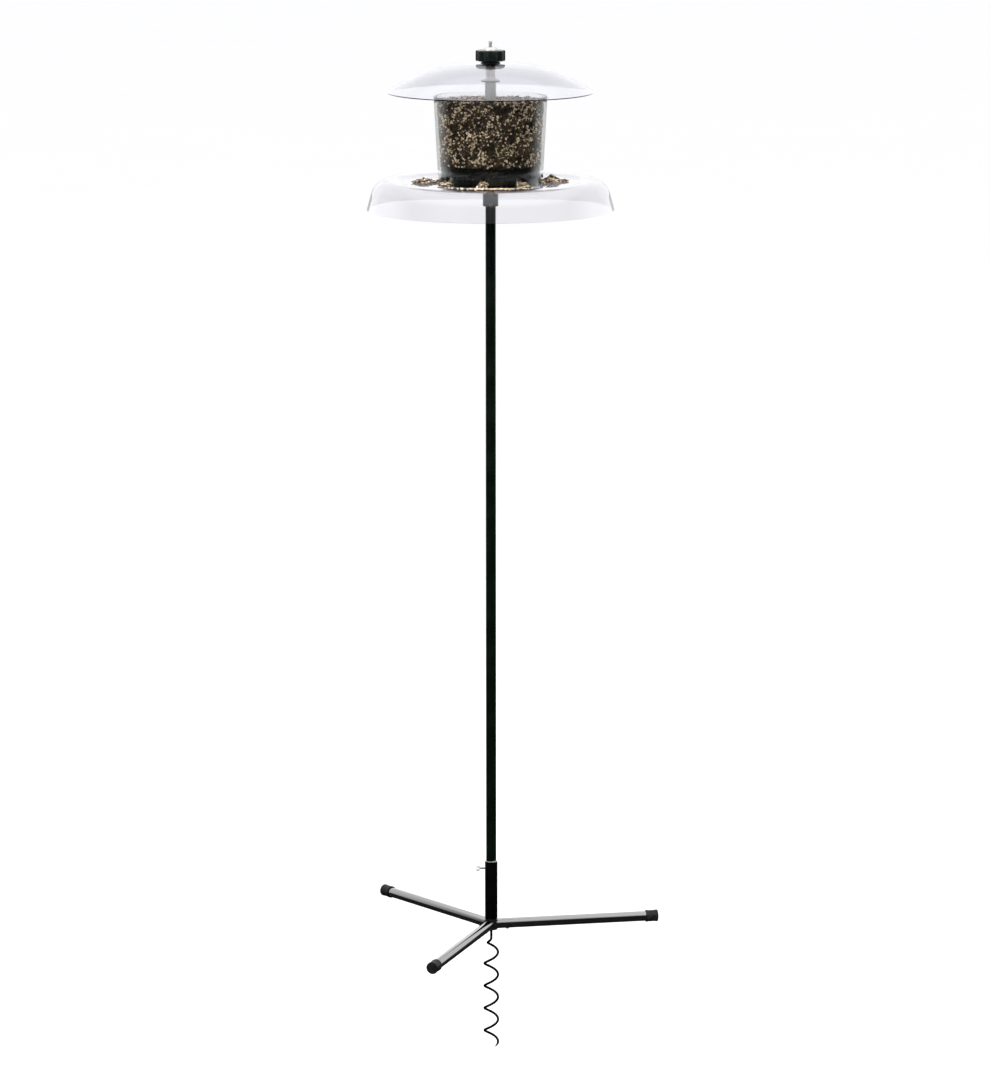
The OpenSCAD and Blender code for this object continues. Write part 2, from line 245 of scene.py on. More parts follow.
def add(mat, kind, inputs=(), **settings):
    """Adds a node, sets its properties, and sets or links its inputs by name or number."""
    node = mat.node_tree.nodes.new(kind)
    for key, value in settings.items():
        setattr(node, key, value)
    for key, value in dict(inputs).items():
        if isinstance(value, bpy.types.NodeSocket):
            mat.node_tree.links.new(value, node.inputs[key])
        else:
            node.inputs[key].default_value = value
    return node


print("materials are made by", shader.__name__, "and their nodes by", add.__name__)

# %% [markdown]
# Patterns are noise or cells on Object coordinates, mapped to the span that a socket needs.
# Writing them as functions lets each finish below say only what is special about it.

# %% Patterns
def pattern(mat, scale, detail=3, kind="Noise", stretch=(1, 1, 1)):
    """A noise or cell pattern on Object coordinates, with a scale in cells a metre."""
    where = add(mat, "ShaderNodeTexCoord").outputs["Object"]
    moved = add(mat, "ShaderNodeMapping", {"Vector": where, "Scale": stretch}).outputs[0]
    if kind == "Noise":
        return add(mat, "ShaderNodeTexNoise",
                   {"Vector": moved, "Scale": scale, "Detail": detail}).outputs["Fac"]
    return add(mat, "ShaderNodeTexVoronoi", {"Vector": moved, "Scale": scale}).outputs[kind]


def spread(mat, value, low, high, start=0.3, end=0.7):
    """Maps a pattern from one span of values to another."""
    return add(mat, "ShaderNodeMapRange", {
        "Value": value, "From Min": start, "From Max": end, "To Min": low, "To Max": high,
    }).outputs["Result"]


print("patterns are mapped by", spread.__name__)

# %% [markdown]
# A pattern can mix two colours, drive any socket of the shader, or raise the surface.

# %% What patterns drive
def blend_colour(mat, factor, first, second):
    """Mixes two colours, each four numbers or a socket, by a factor."""
    mix = add(mat, "ShaderNodeMix", data_type="RGBA")
    for socket, value in zip((mix.inputs[0], mix.inputs[6], mix.inputs[7]),
                             (factor, first, second)):
        if isinstance(value, bpy.types.NodeSocket):
            mat.node_tree.links.new(value, socket)
        else:
            socket.default_value = value
    return mix.outputs[2]


def drive(mat, socket, value):
    """Links a pattern into one of the shader's sockets."""
    mat.node_tree.links.new(value, mat.node_tree.nodes["Principled BSDF"].inputs[socket])


def bump(mat, height, strength, distance):
    """Raises the surface by a pattern, in metres."""
    drive(mat, "Normal", add(mat, "ShaderNodeBump", {
        "Height": height, "Strength": strength, "Distance": distance}).outputs["Normal"])


print("patterns are linked by", drive.__name__, "and", bump.__name__)

# %% [markdown]
# The steel is powder coated: a thick black skin with a faint orange peel, a trace of green on
# the pole and a high gloss on the legs. Peel is a noise of about 2 mm, dust a slow noise that
# dulls the gloss in patches.

# %% Black coat
def coat_finish(name, colour, roughness, ior, gloss):
    """A black skin: the colour doubles and the gloss dulls where dust has settled."""
    mat = shader(name, colour, roughness,
                 IOR=ior, Coat_Weight=gloss, Coat_IOR=2.0, Coat_Roughness=0.08)
    dust = pattern(mat, 22, 5)
    drive(mat, "Base Color", blend_colour(mat, spread(mat, dust, 0, 1, 0.45, 0.8),
                                          (*colour, 1), (*(2 * c for c in colour), 1)))
    drive(mat, "Roughness", spread(mat, dust, roughness * 0.8, roughness * 1.35))
    bump(mat, pattern(mat, 420, 2), 0.12, 0.0004)
    print("coat", name, "roughness", roughness, "index", ior)
    return mat


pole_coat = coat_finish("pole_powder_coat", (0.0009, 0.0026, 0.0014), 0.30, 1.16, 0.02)
sleeve_coat = coat_finish("stand_powder_coat", (0.0006, 0.0007, 0.0007), 0.30, 1.14, 0.02)
leg_coat = coat_finish("leg_gloss_coat", (0.0012, 0.0014, 0.0014), 0.10, 2.6, 0.9)

# %% [markdown]
# Bare steel is zinc plated. Voronoi cells give the plating's soft spangle, each cell with its
# own grey, and fine stretched noise the marks of turning.

# %% Zinc, alloy and the grey tube
zinc = shader("zinc_plate", (0.56, 0.56, 0.54), 0.3, Metallic=1.0)
spangle = pattern(zinc, 700, kind="Color")
drive(zinc, "Base Color", blend_colour(zinc, spangle, (0.42, 0.42, 0.41, 1), (0.68, 0.68, 0.66, 1)))
drive(zinc, "Roughness", spread(zinc, pattern(zinc, 180), 0.22, 0.42))
bump(zinc, pattern(zinc, 900, 2), 0.2, 0.0002)

alloy = shader("turned_alloy", (0.5, 0.5, 0.48), 0.4, Metallic=0.4)
marks = pattern(alloy, 400, 4, stretch=(0.05, 0.05, 6))
drive(alloy, "Base Color", blend_colour(alloy, marks, (0.34, 0.34, 0.32, 1), (0.62, 0.62, 0.59, 1)))
drive(alloy, "Roughness", spread(alloy, marks, 0.26, 0.46))
bump(alloy, marks, 0.3, 0.0002)

grey_tube = shader("grey_tube_finish", (0.27, 0.29, 0.25), 0.4)
streaks = pattern(grey_tube, 160, 4, stretch=(1, 1, 0.12))
drive(grey_tube, "Base Color", blend_colour(grey_tube, streaks,
                                            (0.20, 0.22, 0.19, 1), (0.36, 0.38, 0.33, 1)))
drive(grey_tube, "Roughness", spread(grey_tube, streaks, 0.32, 0.5))
bump(grey_tube, streaks, 0.15, 0.0003)
print("metals", zinc.name, alloy.name, "and", grey_tube.name)

# %% [markdown]
# Rubber is matt with a fine mould grain and grey scuffs; the moulded plastic of the ring and
# the knob is smoother, with a spark-eroded grain of a third of a millimetre.

# %% Rubber and black plastic
rubber = shader("black_rubber", (0.008, 0.008, 0.008), 0.5, Specular_IOR_Level=0.15)
scuff = pattern(rubber, 130, 6)
drive(rubber, "Base Color", blend_colour(rubber, spread(rubber, scuff, 0, 1, 0.5, 0.8),
                                         (0.005, 0.005, 0.005, 1), (0.018, 0.018, 0.017, 1)))
drive(rubber, "Roughness", spread(rubber, scuff, 0.35, 0.55))
bump(rubber, pattern(rubber, 1500, 2), 0.35, 0.0002)

black_plastic = shader("moulded_black", (0.004, 0.006, 0.005), 0.22, Specular_IOR_Level=0.25)
cloud = pattern(black_plastic, 60, 4)
drive(black_plastic, "Base Color", blend_colour(black_plastic, cloud,
                                                (0.002, 0.004, 0.003, 1), (0.007, 0.009, 0.008, 1)))
drive(black_plastic, "Roughness", spread(black_plastic, cloud, 0.16, 0.30))
bump(black_plastic, pattern(black_plastic, 2600, 1), 0.25, 0.00012)
print("dark finishes", rubber.name, "and", black_plastic.name)

# %% [markdown]
# The roof, the bin and the tray are clear formed plastic. Real thickness and a real index of
# refraction give the dark rims and pale faces; a trace of lavender, slow waves from forming
# and fine wiping marks keep the sheets from looking like perfect glass.

# %% Clear plastic
def clear_finish(name, tint):
    """Clear sheet: faint waves in its face, and a dull sheen where it was wiped."""
    mat = shader(name, tint, 0.03, IOR=1.49, Transmission_Weight=1.0)
    haze = pattern(mat, 9, 5)
    drive(mat, "Base Color", blend_colour(mat, spread(mat, haze, 0, 1),
                                          (*(c * 0.985 for c in tint), 1), (*tint, 1)))
    wiped = pattern(mat, 55, 6, stretch=(1, 1, 0.3))
    drive(mat, "Roughness", spread(mat, wiped, 0.015, 0.07, 0.4, 0.75))
    bump(mat, pattern(mat, 14, 2), 0.05, 0.002)
    return mat


clear_roof = clear_finish("clear_roof", (0.85, 0.85, 0.895))
clear_tray = clear_finish("clear_tray", (0.895, 0.895, 0.915))
clear_bin = clear_finish("clear_bin", (0.95, 0.965, 0.945))
print("clear finishes", clear_roof.name, clear_tray.name, clear_bin.name)

# %% [markdown]
# ## Floor, light and camera
# The auger hangs below the ground line here, so the floor lies just under its point. The
# floor is so wide that it fills the view, and it is lit evenly by the sky. Its near part carries
# a painted dark reflection: in mirrored light its colour turns dark, as if a black sheet lay on
# it, so black steel stays black.

# %% Floor
FLOOR_HALF = 150.0
ground_z = levels("ground_auger")[0] - 8 * MM
floor_corners = np.array([(x, y, ground_z) for x in (-FLOOR_HALF, FLOOR_HALF)
                          for y in (-FLOOR_HALF, FLOOR_HALF)])
studio_floor = build("studio_floor", floor_corners, np.array([[0, 2, 3, 1]]))
pale = shader("pale_floor", (0.747, 0.747, 0.747), 0.9, Specular_IOR_Level=0.0)
weave = blend_colour(pale, pattern(pale, 0.8), (0.745, 0.745, 0.745, 1), (0.753, 0.753, 0.753, 1))
# Painted dark reflection: on mirrored paths the floor's colour is mixed to black, fully up to 1.5 m
# behind the pole and less further back.
mirrored = add(pale, "ShaderNodeMath", {
    0: add(pale, "ShaderNodeLightPath").outputs["Glossy Depth"], 1: 0.5}, operation="GREATER_THAN")
floor_y = add(pale, "ShaderNodeSeparateXYZ", {0: add(pale, "ShaderNodeTexCoord").outputs["Object"]})
painted_dark_reflection = add(pale, "ShaderNodeMath", {
    0: mirrored.outputs[0], 1: spread(pale, floor_y.outputs["Y"], 1.0, 0.35, 1.5, 7.0)},
    operation="MULTIPLY")
drive(pale, "Base Color", blend_colour(pale, painted_dark_reflection.outputs[0], weave, (0.02, 0.02, 0.02, 1)))
studio_floor.data.materials.append(pale)
print("floor at", round(ground_z, 4))

# %% [markdown]
# The sky is bright overhead and behind, and dark in front from the horizon down: upright
# steel and clear walls mirror the dark, while upward faces and glancing rims catch the light.

# %% Sky
SKY_BRIGHT = 1.7
SKY_DIM = 0.02
SKY_BACK = 1.3
world = bpy.data.worlds.new("studio_sky")
bpy.context.scene.world = world
world.use_nodes = True
sky = world.node_tree.nodes
wire = world.node_tree.links.new
height = sky.new("ShaderNodeSeparateXYZ")
wire(sky.new("ShaderNodeTexCoord").outputs["Generated"], height.inputs[0])


def sky_fade(axis, start, end, low, high):
    """Brightness that rises smoothly along one axis of the sky's directions."""
    fade = sky.new("ShaderNodeMapRange")
    fade.interpolation_type = "SMOOTHSTEP"
    wire(height.outputs[axis], fade.inputs["Value"])
    for key, value in {"From Min": start, "From Max": end, "To Min": low, "To Max": high}.items():
        fade.inputs[key].default_value = value
    return fade.outputs["Result"]


print("sky", SKY_BRIGHT, "overhead,", SKY_BACK, "behind,", SKY_DIM, "in front")

# %% [markdown]
# The two fades are joined by taking the brighter one. The camera sees a plain white sky: its
# rays are told from all others by the Light Path node.

# %% What the camera sees
brighter = sky.new("ShaderNodeMath")
brighter.operation = "MAXIMUM"
wire(sky_fade("Z", 0.26, 0.80, SKY_DIM, SKY_BRIGHT), brighter.inputs[0])
wire(sky_fade("Y", -0.25, 0.45, 0.0, SKY_BACK), brighter.inputs[1])
seen = sky.new("ShaderNodeMix")
wire(sky.new("ShaderNodeLightPath").outputs["Is Camera Ray"], seen.inputs["Factor"])
wire(brighter.outputs[0], seen.inputs["A"])
seen.inputs["B"].default_value = 1.0
wire(seen.outputs["Result"], sky["Background"].inputs["Strength"])
sky["Background"].inputs["Color"].default_value = (0.985, 0.985, 1.0, 1)
bpy.context.scene.view_settings.view_transform = "Standard"
print("view transform", bpy.context.scene.view_settings.view_transform)

# %% [markdown]
# Two large softboxes to the left and right of the viewer light the seed through the bin.

# %% Softboxes
def softbox(name, at, towards, size, watts):
    """A square area light at a place, facing another, that goes out on mirrored paths."""
    data = bpy.data.lights.new(name, "AREA")
    data.size = size
    data.energy = watts
    lamp = linked(name, data)
    lamp.location = at
    data.use_nodes = True
    nodes = data.node_tree.nodes
    unmirrored = nodes.new("ShaderNodeMath")
    unmirrored.operation = "LESS_THAN"
    unmirrored.inputs[1].default_value = 0.5
    wires = data.node_tree.links
    wires.new(nodes.new("ShaderNodeLightPath").outputs["Glossy Depth"], unmirrored.inputs[0])
    wires.new(unmirrored.outputs[0], nodes["Emission"].inputs["Strength"])
    lamp.rotation_euler = (Vector(towards) - Vector(at)).to_track_quat("-Z", "Y").to_euler()
    print(name, size, "m,", watts, "W")


softbox("key_left", (-3.2, -3.5, 4.0), (0, 0, 1.6), 2.6, 310)
softbox("key_right", (3.4, -2.6, 3.8), (0, 0, 1.6), 2.4, 160)

# %% [markdown]
# A long lens far off keeps the pole's sides parallel and shows a little of the tray's dish
# and of the legs' tops at once. Its tilt, not a lens shift, frames the whole height.

# %% Camera
SENSOR_H = 24.0
camera_data = bpy.data.cameras.new("camera")
camera_data.sensor_fit = "VERTICAL"
camera_data.sensor_height = SENSOR_H
camera_data.lens = 98.7
camera_data.clip_end = 500
camera = linked("camera", camera_data)
camera.location = (-0.060, -11.0, 3.082)
camera.rotation_euler = (math.radians(90 - 10.74), math.radians(0.043), math.radians(-0.374))
bpy.context.scene.camera = camera
print("camera", round(-camera.location.y, 2), "m away, lens", camera_data.lens, "mm")

# %% [markdown]
# ## Tray
# One sheet, thermoformed: a flat dish, a low ridge and a deep skirt that leans out. Its
# path is three arcs and two straight runs; the section is that path and its offset.

# %% Tray
TRAY_HOLE_R = 5.5 * MM
SHOULDER_R = 52 * MM
FILLET_R = 60 * MM
LEAN = 15
DISH = ridge_z - floor_z
lean = math.radians(LEAN)
rim_z = tray_foot + SHEET * math.sin(lean)
shoulder_z = SHOULDER_R * (1 - math.sin(lean))
ridge_r = tray_r - SHOULDER_R * math.cos(lean) - (ridge_z - rim_z - shoulder_z) * math.tan(lean)
sweep = math.degrees(math.acos(1 - DISH / 2 / FILLET_R))
dish_r = ridge_r - 2 * FILLET_R * math.sin(math.radians(sweep))
tray_path = np.vstack([
    np.stack([np.linspace(TRAY_HOLE_R, dish_r - 4 * MM, 16), np.full(16, floor_z)], -1),
    arc(dish_r, floor_z + FILLET_R, FILLET_R, 180, 180 - sweep, 10)[:-1],
    arc(ridge_r, ridge_z - FILLET_R, FILLET_R, -sweep, 0, 10)[:-1],
    arc(ridge_r, ridge_z - SHOULDER_R, SHOULDER_R, 0, 90 - LEAN, 26),
    np.stack([np.linspace(tray_r - (ridge_z - rim_z - shoulder_z) * math.tan(lean), tray_r, 9),
              np.linspace(ridge_z - shoulder_z, rim_z, 9)], -1)[1:],
])
tray = shell("tray_sheet", turned(sheet_outline(tray_path, SHEET), 288))
place(tray, clear_tray, "feeder_head", "clear_plastic", "tray")

# %% [markdown]
# ## Roof
# The roof is blown from the same sheet: a flat crown for the knob, then one round arc.

# %% Roof
ROOF_HOLE_R = 5.1 * MM
CROWN_FLAT = 40 * MM
roof_rise = crown_z - roof_foot - SHEET * 0.8
roof_span = roof_r - CROWN_FLAT
roof_arc_r = (roof_span ** 2 + roof_rise ** 2) / 2 / roof_rise
roof_path = np.vstack([
    np.stack([np.linspace(ROOF_HOLE_R, CROWN_FLAT - 3 * MM, 6), np.full(6, crown_z)], -1),
    arc(CROWN_FLAT, crown_z - roof_arc_r, roof_arc_r, 0,
        math.degrees(math.asin(roof_span / roof_arc_r)), 44),
])
roof = shell("roof_sheet", turned(sheet_outline(roof_path, SHEET), 288))
place(roof, clear_roof, "roof", "clear_plastic", "dome_roof")

# %% [markdown]
# ## Walls with feeding ports
# The bin and the ring inside it are round walls with the same eight arched ports at the foot.
# A Boolean would cut them but leave ragged shading, so the lower edge is drawn as a curve
# of (angle, rise), and the wall is ruled from that curve up to an even ring at the top.

# %% A wall ruled from its ported edge
PORTS = 8
PORT_TURN = math.radians(-9)
PORT_W = 28 * MM
PORT_H = 23 * MM
WALL_R = 121 * MM


def port_edge(rise_of_arch=PORT_H):
    """One port's share of the edge, repeated: along the foot, up a side, over a half circle,
    down the other side and along the foot. Returns the edge's angles and rises, and the even
    angles above them."""
    half = PORT_W / 2
    spring = rise_of_arch - half
    share = 2 * np.pi / PORTS
    t = np.linspace(np.pi, 0, 15)
    across = np.concatenate([
        np.linspace(-share / 2 * WALL_R, -half, 6)[:-1], np.full(4, -half)[:-1],
        half * np.cos(t), np.full(4, half)[1:], np.linspace(half, share / 2 * WALL_R, 6)[1:-1]])
    rise = np.concatenate([
        np.zeros(5), np.linspace(0, spring, 4)[:-1],
        spring + half * np.sin(t), np.linspace(spring, 0, 4)[1:], np.zeros(4)])
    turn = PORT_TURN + share * np.arange(PORTS)[:, None]
    even = share * (np.arange(len(across)) / len(across) - 0.5)
    return (turn + across / WALL_R).ravel(), np.tile(rise, PORTS), (turn + even).ravel()


print("one round of ports has", len(port_edge()[0]), "points along its edge")

# %% [markdown]
# The wall climbs from that edge. Angle and height are both mixed towards an even ring, so the
# rows stay level at the top and follow the arches at the foot, and no row crosses another.

# %% The ruled wall
WALL_ROWS = 14


def ported_wall(name, foot, top, outer, inner, ease, rows=WALL_ROWS):
    """P(u, v): v climbs the outer face from the edge curve, rounds the top and comes down the
    inner face; angle and height are mixed in a straight line, and outer(z) and inner(z)
    give the radius, so every point lies on the wall's cone."""
    angle, rise, even = port_edge()
    s = np.linspace(0, 1, rows)[None, :]
    z = (foot + rise)[:, None] * (1 - s) + (top - ease) * s
    a = angle[:, None] * (1 - s) + even[:, None] * s
    q = np.linspace(0, np.pi / 2, 4)[None, 1:]
    bend_z = top - ease + ease * np.sin(q) + 0 * even[:, None]
    inset = ease * (1 - np.cos(q))
    flat = even[:, None] + 0 * q
    radius = np.hstack([outer(z), outer(bend_z) - inset,
                        (inner(bend_z) + inset)[:, ::-1], inner(z)[:, ::-1]])
    heights = np.hstack([z, bend_z, bend_z[:, ::-1], z[:, ::-1]])
    angles = np.hstack([a, flat, flat[:, ::-1], a[:, ::-1]])
    return shell(name, about(angles, radius, heights))


print("a wall has", WALL_ROWS, "rows of points on each face")

# %% [markdown]
# The bin is a moulded cup that widens upwards, with a wall thick enough to show as a clear
# border round the seed. The ring inside its foot is a plain black band with a lip that
# carries the bin's edge. Both use the ported wall, so their ports line up by construction.

# %% Bin and seed ring
BIN_WALL = 6 * MM
BIN_FOOT_R = 128.5 * MM
RING_R = BIN_FOOT_R - BIN_WALL - 0.6 * MM
RING_WALL = 3 * MM
bin_slope = (hopper_top_r - BIN_FOOT_R) / (hopper_top - floor_z)
ring_top = levels("seed_ring")[1]
ring_lip_r = levels("seed_ring")[2]


def bin_radius(z):
    """Outer radius of the tapered bin at a height."""
    return BIN_FOOT_R + bin_slope * (z - floor_z)


seed_bin = ported_wall("seed_bin", floor_z, hopper_top, bin_radius,
                       lambda z: bin_radius(z) - BIN_WALL, 1.5 * MM)
place(seed_bin, clear_bin, "feeder_head", "clear_plastic", "hopper")

ring = ported_wall("ring_wall", floor_z, ring_top - 1 * MM, lambda z: RING_R + 0 * z,
                   lambda z: RING_R - RING_WALL + 0 * z, 0.6 * MM)
place(ring, black_plastic, "feeder_head", "black_plastic", "seed_ring")
lip = shell("ring_lip", turned(eased([
    (RING_R - RING_WALL, ring_top - 3 * MM), (ring_lip_r, ring_top - 3 * MM),
    (ring_lip_r, ring_top), (RING_R - RING_WALL, ring_top)], 0.7 * MM), 240))
place(lip, black_plastic, "feeder_head", "black_plastic")

# %% [markdown]
# ## Pole, collar and sleeve
# Plain tubes, but each end has its own form: the pole's coat stops where it enters the sleeve
# and bare plated steel goes on inside, and the sleeve has a cut bright rim.

# %% Pole and its bare end
def ring_of(inner, outer, low, high, ease):
    """A round sleeve's closed section with eased corners."""
    return eased([(inner, low), (outer, low), (outer, high), (inner, high)], ease)


pole_low, pole_high, pole_r = levels("pole")
sleeve_low, sleeve_high, _ = levels("pole_sleeve")
POLE_BORE = pole_r - 1.6 * MM
coat_low = sleeve_high + 1 * MM
spigot_r = pole_r - 0.08 * MM
coated = shell("pole_tube", turned(ring_of(POLE_BORE, pole_r, coat_low, pole_high, 0.5 * MM), 96))
place(coated, pole_coat, "pole", "black_coat", "pole")
spigot = shell("pole_spigot", turned(ring_of(POLE_BORE, spigot_r, pole_low, coat_low, 0.6 * MM), 96))
place(spigot, zinc, "pole", "zinc_steel")

# %% [markdown]
# The sleeve is coated too, but its cut rim is bright, so the two are separate pieces.

# %% Sleeve and its rim
RIM_H = 0.9 * MM
sleeve_bore = spigot_r + 0.1 * MM
sleeve = shell("stand_sleeve", turned(
    ring_of(sleeve_bore, SLEEVE_R, sleeve_low, sleeve_high - RIM_H, 0.4 * MM), 96))
place(sleeve, sleeve_coat, "stand", "black_coat", "pole_sleeve")
rim = shell("sleeve_rim", turned(
    ring_of(sleeve_bore, SLEEVE_R - 0.15 * MM, sleeve_high - RIM_H, sleeve_high, 0.3 * MM), 96))
place(rim, zinc, "stand", "zinc_steel")

# %% [markdown]
# The collar is a casting with soft edges. Its web closes the bore above the pole's end, and
# the tie rod passes through the web.

# %% Collar and flange
collar_low, flange_high, flange_r = levels("tray_flange")
collar_r = 19 * MM
disc_low = flange_high - 6 * MM
web_low = flange_high - 9 * MM
rod_r = 4.7625 * MM
flange = shell("tray_collar", turned(eased([
    (rod_r + 0.05 * MM, web_low), (sleeve_bore, web_low), (sleeve_bore, collar_low),
    (collar_r, collar_low), (collar_r, disc_low - 5 * MM), (collar_r + 5 * MM, disc_low),
    (flange_r, disc_low), (flange_r, flange_high), (rod_r + 0.05 * MM, flange_high)], 1.2 * MM), 128))
place(flange, pole_coat, "feeder_head", "black_coat", "tray_flange")

# %% [markdown]
# ## Legs and their rubber caps
# A leg is a turned tube laid on its side: the profile is made upright, then its axis is swung
# onto the leg's compass angle. The caps have a bead at the mouth and rings moulded into the
# end, like the ferrule of a walking stick.

# %% Legs
LEG_ANGLES = {"front": -110, "right": 10, "left": 130}
CAP_H = 31 * MM
LEG_START = 14.8 * MM
cap_r = (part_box("leg_cap_front")[1].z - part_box("leg_cap_front")[0].z) / 2
leg_reach = 432 * MM


def laid_out(grid, angle):
    """Turns a grid made about +Z onto a leg: z runs outwards, x goes down, y stays level."""
    a = math.radians(angle)
    along, side = grid[..., 2], grid[..., 1]
    return np.stack([along * math.cos(a) - side * math.sin(a),
                     along * math.sin(a) + side * math.cos(a), cap_r - grid[..., 0]], -1)


leg_section = ring_of(TUBE_R - 1.6 * MM, TUBE_R, LEG_START, leg_reach - 3 * MM, 0.5 * MM)
cap_section = eased([
    (0, leg_reach - 3 * MM), (TUBE_R + 0.05 * MM, leg_reach - 3 * MM),
    (TUBE_R + 0.05 * MM, leg_reach - CAP_H), (cap_r, leg_reach - CAP_H),
    (cap_r, leg_reach - CAP_H + 4 * MM), (cap_r - 0.7 * MM, leg_reach - CAP_H + 5 * MM),
    (cap_r - 0.7 * MM, leg_reach - 7 * MM), (cap_r, leg_reach - 5.5 * MM),
    (cap_r, leg_reach - 1.2 * MM), (cap_r - 1.2 * MM, leg_reach),
    (11.5 * MM, leg_reach), (11 * MM, leg_reach - 1 * MM), (9.5 * MM, leg_reach - 1 * MM),
    (9 * MM, leg_reach), (6.5 * MM, leg_reach), (6 * MM, leg_reach - 1 * MM),
    (4.5 * MM, leg_reach - 1 * MM), (4 * MM, leg_reach), (0, leg_reach)],
    0.5 * MM, 3, closed=False)
for side, angle in LEG_ANGLES.items():
    leg = shell(f"leg_tube_{side}", laid_out(turned(leg_section, 96), angle))
    place(leg, leg_coat, "stand", "black_coat", f"leg_{side}")
    cap = shell(f"rubber_cap_{side}", laid_out(turned(cap_section, 96), angle), wrap_v=False)
    place(cap, rubber, "stand", "cap_rubber", f"leg_cap_{side}")

# %% [markdown]
# ## Auger
# One rod: straight down the axis, swinging out over its first stretch, then coiling with a
# constant fall. Point: (r cos a, r sin a, z) with z falling in proportion to the angle and r
# easing from nothing to the coil's radius; the section is square to that path.

# %% Auger
AUGER_ROD = 3.2 * MM
AUGER_COIL = 17.05 * MM
AUGER_PITCH = 59 * MM
AUGER_START = -22.6 * MM
SWING = 135
START_ANGLE = 225
TURNED = 1726
AROUND = 20
auger_top = levels("ground_auger")[1]


def auger_path(a):
    """Where the rod's centre is after turning a degrees; before zero it is on the axis."""
    u = np.clip(a / SWING, 0, 1)
    r = AUGER_COIL * u * u * (3 - 2 * u)
    compass = np.radians(START_ANGLE - a)
    fall = np.where(a > 0, AUGER_PITCH * a / 360, a * MM)
    return about(compass, r, AUGER_START - fall)


a = np.concatenate([np.linspace(-(auger_top - AUGER_START) / MM, -2, 12), np.arange(0, TURNED, 4.0)])
print("auger turns", round(TURNED / 360, 1), "times")

# %% [markdown]
# The rod's section is a circle in the plane square to the path: one of its axes points away
# from the pole, made square to the path, and the other is square to both.

# %% The rod round its path
centre = auger_path(a)
ahead = np.gradient(centre, axis=0)
ahead /= np.linalg.norm(ahead, axis=1)[:, None]
out = about(np.radians(START_ANGLE - a), 1.0, 0 * a)
out -= (out * ahead).sum(1)[:, None] * ahead
out /= np.linalg.norm(out, axis=1)[:, None]
across = np.cross(ahead, out)
taper = AUGER_ROD * np.clip(0.06 + (a[-1] - a) / 55, 0, 1) ** 0.6
w = circle(AROUND)[None, :, None]
tube = centre[:, None] + taper[:, None, None] * (out[:, None] * np.cos(w) + across[:, None] * np.sin(w))
ends = [np.repeat(centre[k][None, None], AROUND, 1) for k in (0, -1)]
auger = shell("auger_coil", np.concatenate([ends[0], tube, ends[1]]), wrap_u=False)
place(auger, sleeve_coat, "stand", "black_coat", "ground_auger")

# %% [markdown]
# ## Rod and thumb screw
# A thread is a turned surface whose radius is a triangle wave of height less angle: going
# round once moves the wave up by one pitch.

# %% Threads
def threaded(radius, depth, pitch, low, high, around=40, steps=10):
    """A closed threaded stud about +Z; the thread fades in and out at its ends."""
    z = np.linspace(low, high, int((high - low) / pitch * steps) + 1)[None, :]
    u = circle(around)[:, None]
    wave = np.abs(((z / pitch - u / (2 * np.pi)) % 1) * 2 - 1)
    fade = np.clip(np.minimum(z - low, high - z) / pitch, 0, 1)
    r = radius - depth * (1 - fade + fade * wave)
    r = np.hstack([0 * u, r, 0 * u])
    return about(u, r, np.hstack([z[:, :1], z, z[:, -1:]]) + 0 * u)


THREAD_DEPTH = 0.75 * MM
THREAD_PITCH = 1.5875 * MM
rod_low, rod_high, _ = levels("dome_rod")
stud_low = levels("knob_insert")[1] - 3 * MM
rod = shell("tie_rod", turned(eased([(0, rod_low), (rod_r, rod_low), (rod_r, stud_low),
                                     (0, stud_low)], 0.4 * MM, closed=False), 48), wrap_v=False)
place(rod, zinc, "feeder_head", "zinc_steel", "dome_rod")
stud = shell("tie_rod_thread", threaded(rod_r, THREAD_DEPTH, THREAD_PITCH, stud_low, rod_high),
             wrap_v=False, crease=70)
place(stud, zinc, "feeder_head", "zinc_steel")

# %% [markdown]
# The thumb screw is a short threaded shank with a flat wing to grip. The wing is a squared
# off ellipsoid, which gives the soft edge of a die casting without any bevelling.

# %% The wing's shape
def signed_power(x, e):
    """A power that keeps the sign of its base."""
    return np.sign(x) * np.abs(x) ** e


def paddle(half_l, half_w, half_t, u_steps=40, v_steps=24):
    """A superellipsoid: cosines and sines raised to 0.7 or 0.75 square up its outline, and
    shallow waves across it leave a grip on each face."""
    u = circle(u_steps)[:, None]
    v = np.linspace(-np.pi / 2, np.pi / 2, v_steps)[None, :]
    ring = signed_power(np.cos(v), 0.7)
    wide = half_w * signed_power(np.cos(u), 0.75) * ring
    grip = 1 - 0.22 * np.cos(wide / half_w * 4 * np.pi)
    return np.stack([half_t * signed_power(np.sin(u), 0.75) * ring * grip, wide,
                     half_l * signed_power(np.sin(v), 0.7) + 0 * u], -1)


PADDLE_L = 13 * MM
blade = paddle(PADDLE_L / 2, 8 * MM, 1.8 * MM)
print("wing of", blade.shape[0], "by", blade.shape[1], "points")

# %% [markdown]
# Wing and shank are made upright and laid over to the left, at the height of the CAD's screw.

# %% Thumb screw
PADDLE_TURN = math.radians(-42)
screw_low, screw_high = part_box("thumb_screw")
screw_z = (screw_low.z + screw_high.z) / 2
screw_root = -SLEEVE_R - 11.7 * MM


def sideways(grid):
    """Turns a grid made about +Z to point left out of the sleeve, at the screw's height."""
    return np.stack([-grid[..., 2], grid[..., 1], grid[..., 0] + screw_z], -1)


